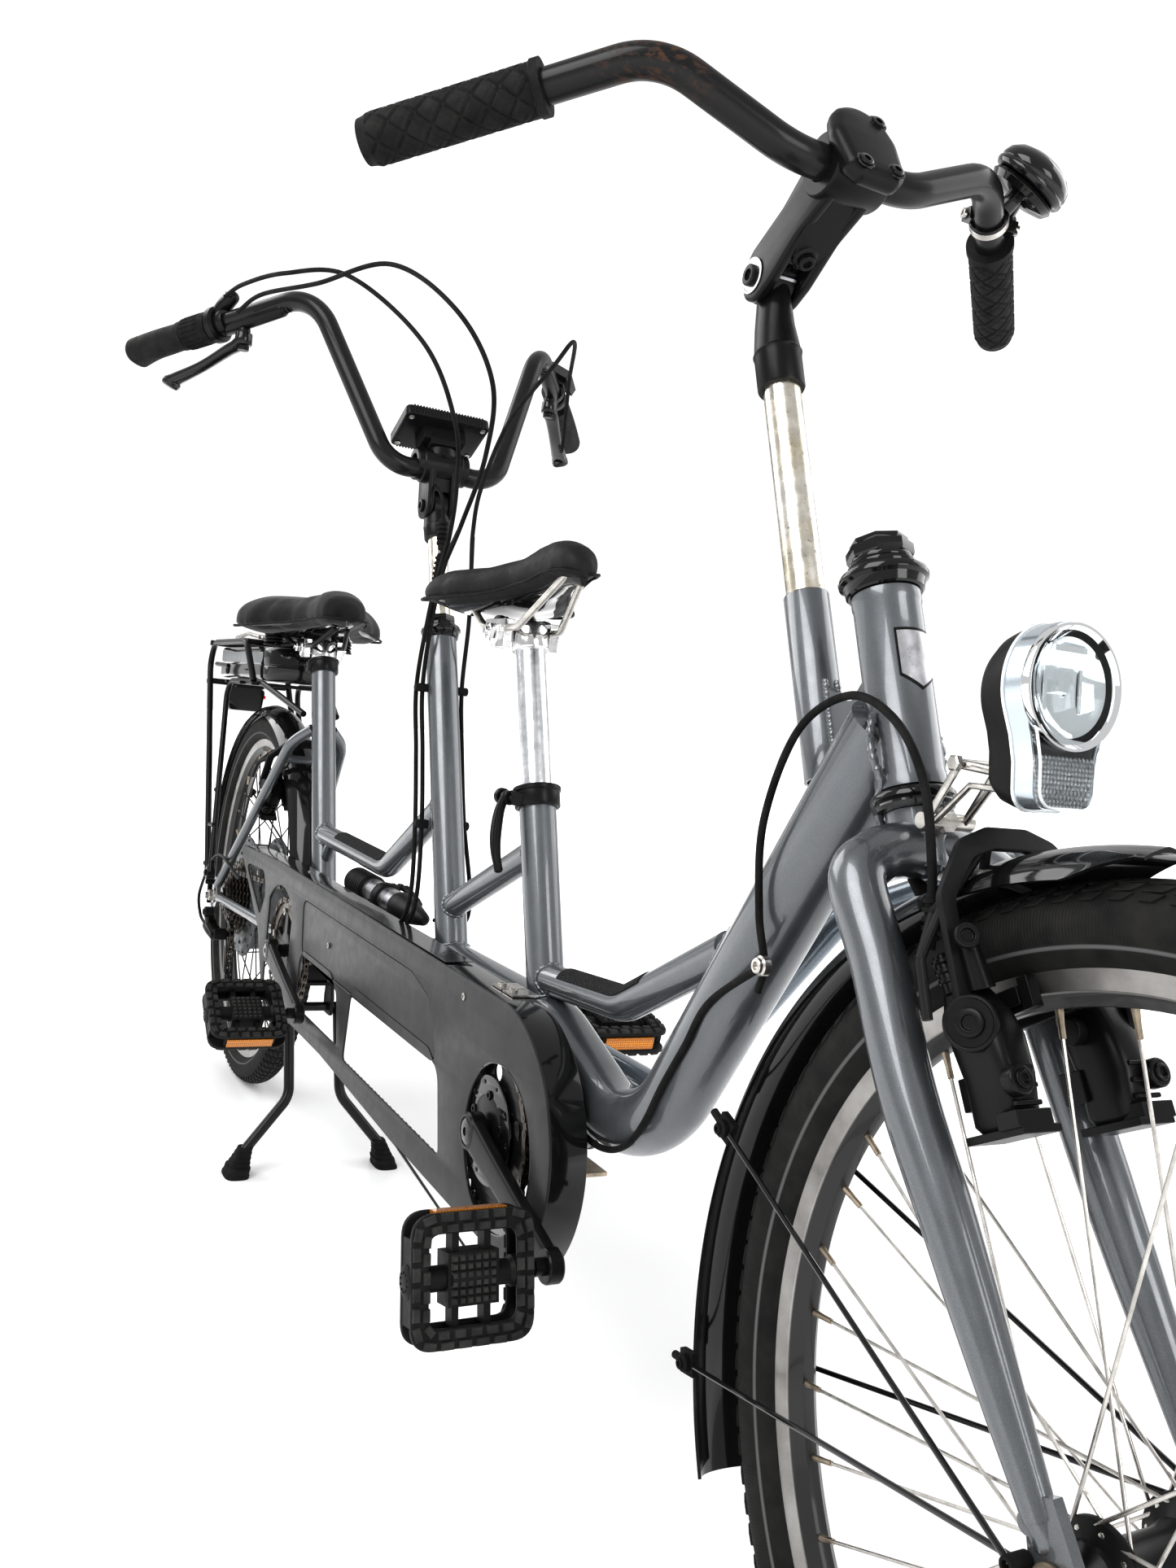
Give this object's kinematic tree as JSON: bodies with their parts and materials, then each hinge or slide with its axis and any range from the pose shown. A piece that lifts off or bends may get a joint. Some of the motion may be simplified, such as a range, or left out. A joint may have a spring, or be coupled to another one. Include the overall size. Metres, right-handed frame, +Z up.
{
  "type": "tandem bicycle",
  "caption": "Two-seat bicycle steered from the rear seat: swooping step-through frame, linked cranks in one chain case, motor rear wheel, rack, fenders and two-leg stand.",
  "frame": {"origin": "on the ground, midway along the bicycle in its centre plane", "axes": "+X towards the front wheel, +Y to the rider's left, +Z up"},
  "size_m": [2.3561, 0.6438, 1.1038],
  "materials": {
    "frame_paint": "gloss",
    "black_paint": "gloss",
    "black_metal": "satin",
    "black_plastic": "matte",
    "gloss_plastic": "gloss",
    "case_plastic": "satin",
    "steel": "worn",
    "chrome": "polished",
    "alloy": "satin",
    "motor_alloy": "cast",
    "rubber": "matte",
    "tyre": "matte",
    "lens": "clear",
    "saddle_cover": "matte"
  },
  "bodies": {
    "frame": {"main_frame": "frame_paint", "bearing_cups": "black_metal", "chain_case": "case_plastic", "rear_fender": "gloss_plastic", "rack": "black_metal", "seat_collars": "black_metal", "rear_brake": "black_metal", "tool_canister": "gloss_plastic", "stand_bracket": "black_metal", "derailleur": "black_metal", "rear_axle": "steel", "timing_chain": "steel", "drive_chain": "steel"},
    "battery_pack": {"battery": "gloss_plastic"},
    "seat_lever": {"quick_release_lever": "black_metal"},
    "stand": {"stand_legs": "black_paint", "stand_feet": "rubber"},
    "front_fork": {"fork": "frame_paint", "front_brake": "black_metal", "front_fender": "gloss_plastic", "headlight": "black_plastic", "headlight_lens": "lens", "front_axle": "steel"},
    "front_wheel": {"front_tyre": "tyre", "front_rim": "black_paint", "front_spokes": "steel", "front_hub": "black_metal"},
    "rear_wheel": {"rear_tyre": "tyre", "rear_rim": "black_paint", "rear_spokes": "black_paint", "hub_motor": "motor_alloy"},
    "cog_stack": {"cassette": "steel"},
    "front_cranks": {"front_crankset": "black_metal", "front_chainring": "black_metal"},
    "rear_cranks": {"rear_crankset": "alloy", "rear_chainrings": "steel"},
    "front_right_pedal": {"front_right_pedal": "black_plastic"},
    "front_left_pedal": {"front_left_pedal": "black_plastic"},
    "rear_right_pedal": {"rear_right_pedal": "black_plastic"},
    "rear_left_pedal": {"rear_left_pedal": "black_plastic"},
    "steering_rod": {"steering_rod": "frame_paint"},
    "rear_steering_column": {"rear_steerer": "black_metal"},
    "front_post": {"front_quill": "chrome"},
    "front_cockpit": {"front_stem": "black_metal", "front_bar": "black_paint", "front_grips": "rubber", "bell": "black_paint"},
    "rear_post": {"rear_quill": "chrome"},
    "rear_cockpit": {"rear_stem": "black_metal", "rear_bar": "black_paint", "rear_grips": "rubber", "brake_cylinders": "black_metal", "display": "black_plastic"},
    "right_lever": {"right_brake_lever": "black_metal"},
    "left_lever": {"left_brake_lever": "black_metal"},
    "shifter": {"twist_shifter": "black_plastic"},
    "front_seat": {"front_seatpost": "alloy", "front_saddle": "saddle_cover"},
    "rear_seat": {"rear_seatpost": "black_metal", "rear_saddle": "saddle_cover"}
  },
  "joints": [
    {"name": "rear_bar_steer", "type": "hinge", "parent": "frame", "child": "rear_steering_column", "pos_m": [-0.123, 0, 0.715], "axis": [-0.3535, 0, 0.9354], "range_deg": [-35, 35]},
    {"name": "fork_steer", "type": "hinge", "parent": "frame", "child": "front_fork", "pos_m": [0.63, 0, 0.734], "axis": [-0.3535, 0, 0.9354], "range_deg": [-35, 35]},
    {"name": "rod_swing", "type": "hinge", "parent": "rear_steering_column", "child": "steering_rod", "pos_m": [0.02475, 0.07, 0.32398], "axis": [-0.3535, 0, 0.9354], "range_deg": [-35, 35]},
    {"name": "front_wheel_spin", "type": "hinge", "parent": "front_fork", "child": "front_wheel", "pos_m": [0.879, 0, 0.3], "axis": [0, 1, 0], "continuous": true},
    {"name": "rear_wheel_spin", "type": "hinge", "parent": "frame", "child": "rear_wheel", "pos_m": [-0.863, 0, 0.3], "axis": [0, 1, 0], "continuous": true},
    {"name": "rear_crank_spin", "type": "hinge", "parent": "frame", "child": "rear_cranks", "pos_m": [-0.465, 0, 0.292], "axis": [0, 1, 0], "continuous": true},
    {"name": "front_crank_spin", "type": "hinge", "parent": "frame", "child": "front_cranks", "pos_m": [0.269, 0, 0.292], "axis": [0, 1, 0], "continuous": true},
    {"name": "cog_spin", "type": "hinge", "parent": "frame", "child": "cog_stack", "pos_m": [-0.863, 0, 0.3], "axis": [0, 1, 0], "continuous": true},
    {"name": "front_right_pedal_spin", "type": "hinge", "parent": "front_cranks", "child": "front_right_pedal", "pos_m": [0.43321, 0, 0.248], "axis": [0, 1, 0], "continuous": true},
    {"name": "front_left_pedal_spin", "type": "hinge", "parent": "front_cranks", "child": "front_left_pedal", "pos_m": [0.10479, 0, 0.336], "axis": [0, 1, 0], "continuous": true},
    {"name": "rear_right_pedal_spin", "type": "hinge", "parent": "rear_cranks", "child": "rear_right_pedal", "pos_m": [-0.30079, 0, 0.248], "axis": [0, 1, 0], "continuous": true},
    {"name": "rear_left_pedal_spin", "type": "hinge", "parent": "rear_cranks", "child": "rear_left_pedal", "pos_m": [-0.62921, 0, 0.336], "axis": [0, 1, 0], "continuous": true},
    {"name": "front_post_height", "type": "slide", "parent": "frame", "child": "front_post", "axis": [-0.3535, 0, 0.9354], "range_m": [-0.05, 0.04]},
    {"name": "front_stem_tilt", "type": "hinge", "parent": "front_post", "child": "front_cockpit", "pos_m": [0.471, 0, 0.959], "axis": [0, 1, 0], "range_deg": [-40, 20]},
    {"name": "rear_post_height", "type": "slide", "parent": "rear_steering_column", "child": "rear_post", "axis": [-0.3535, 0, 0.9354], "range_m": [-0.03, 0.04]},
    {"name": "rear_stem_tilt", "type": "hinge", "parent": "rear_post", "child": "rear_cockpit", "pos_m": [-0.18062, 0, 0.86748], "axis": [0, 1, 0], "range_deg": [-22, 20]},
    {"name": "right_brake_pull", "type": "hinge", "parent": "rear_cockpit", "child": "right_lever", "pos_m": [-0.34667, -0.20114, 1.05026], "axis": [0, 0, -1], "range_deg": [0, 14]},
    {"name": "left_brake_pull", "type": "hinge", "parent": "rear_cockpit", "child": "left_lever", "pos_m": [-0.34667, 0.20114, 1.05026], "axis": [0, 0, 1], "range_deg": [0, 14]},
    {"name": "gear_twist", "type": "hinge", "parent": "rear_cockpit", "child": "shifter", "pos_m": [-0.40413, -0.24189, 1.06411], "axis": [0.8059, 0.5624, 0.1852], "range_deg": [0, 90]},
    {"name": "quick_release_swing", "type": "hinge", "parent": "frame", "child": "seat_lever", "pos_m": [0.17018, -0.028, 0.56541], "axis": [-1, 0, 0], "range_deg": [0, 100]},
    {"name": "front_saddle_height", "type": "slide", "parent": "frame", "child": "front_seat", "axis": [-0.3338, 0, 0.9426], "range_m": [-0.06, 0.05]},
    {"name": "rear_saddle_height", "type": "slide", "parent": "frame", "child": "rear_seat", "axis": [-0.3338, 0, 0.9426], "range_m": [0, 0.08]},
    {"name": "battery_slide", "type": "slide", "parent": "frame", "child": "battery_pack", "axis": [-1, 0, 0], "range_m": [0, 0.36]},
    {"name": "stand_fold", "type": "hinge", "parent": "frame", "child": "stand", "pos_m": [-0.493, 0, 0.208], "axis": [0, 1, 0], "range_deg": [0, 78]}
  ],
  "couplings": [
    {"joint": "fork_steer", "follows": "rear_bar_steer", "ratio": 1},
    {"joint": "rod_swing", "follows": "rear_bar_steer", "ratio": -1},
    {"joint": "front_crank_spin", "follows": "rear_crank_spin", "ratio": 1},
    {"joint": "cog_spin", "follows": "rear_crank_spin", "ratio": 2}
  ]
}
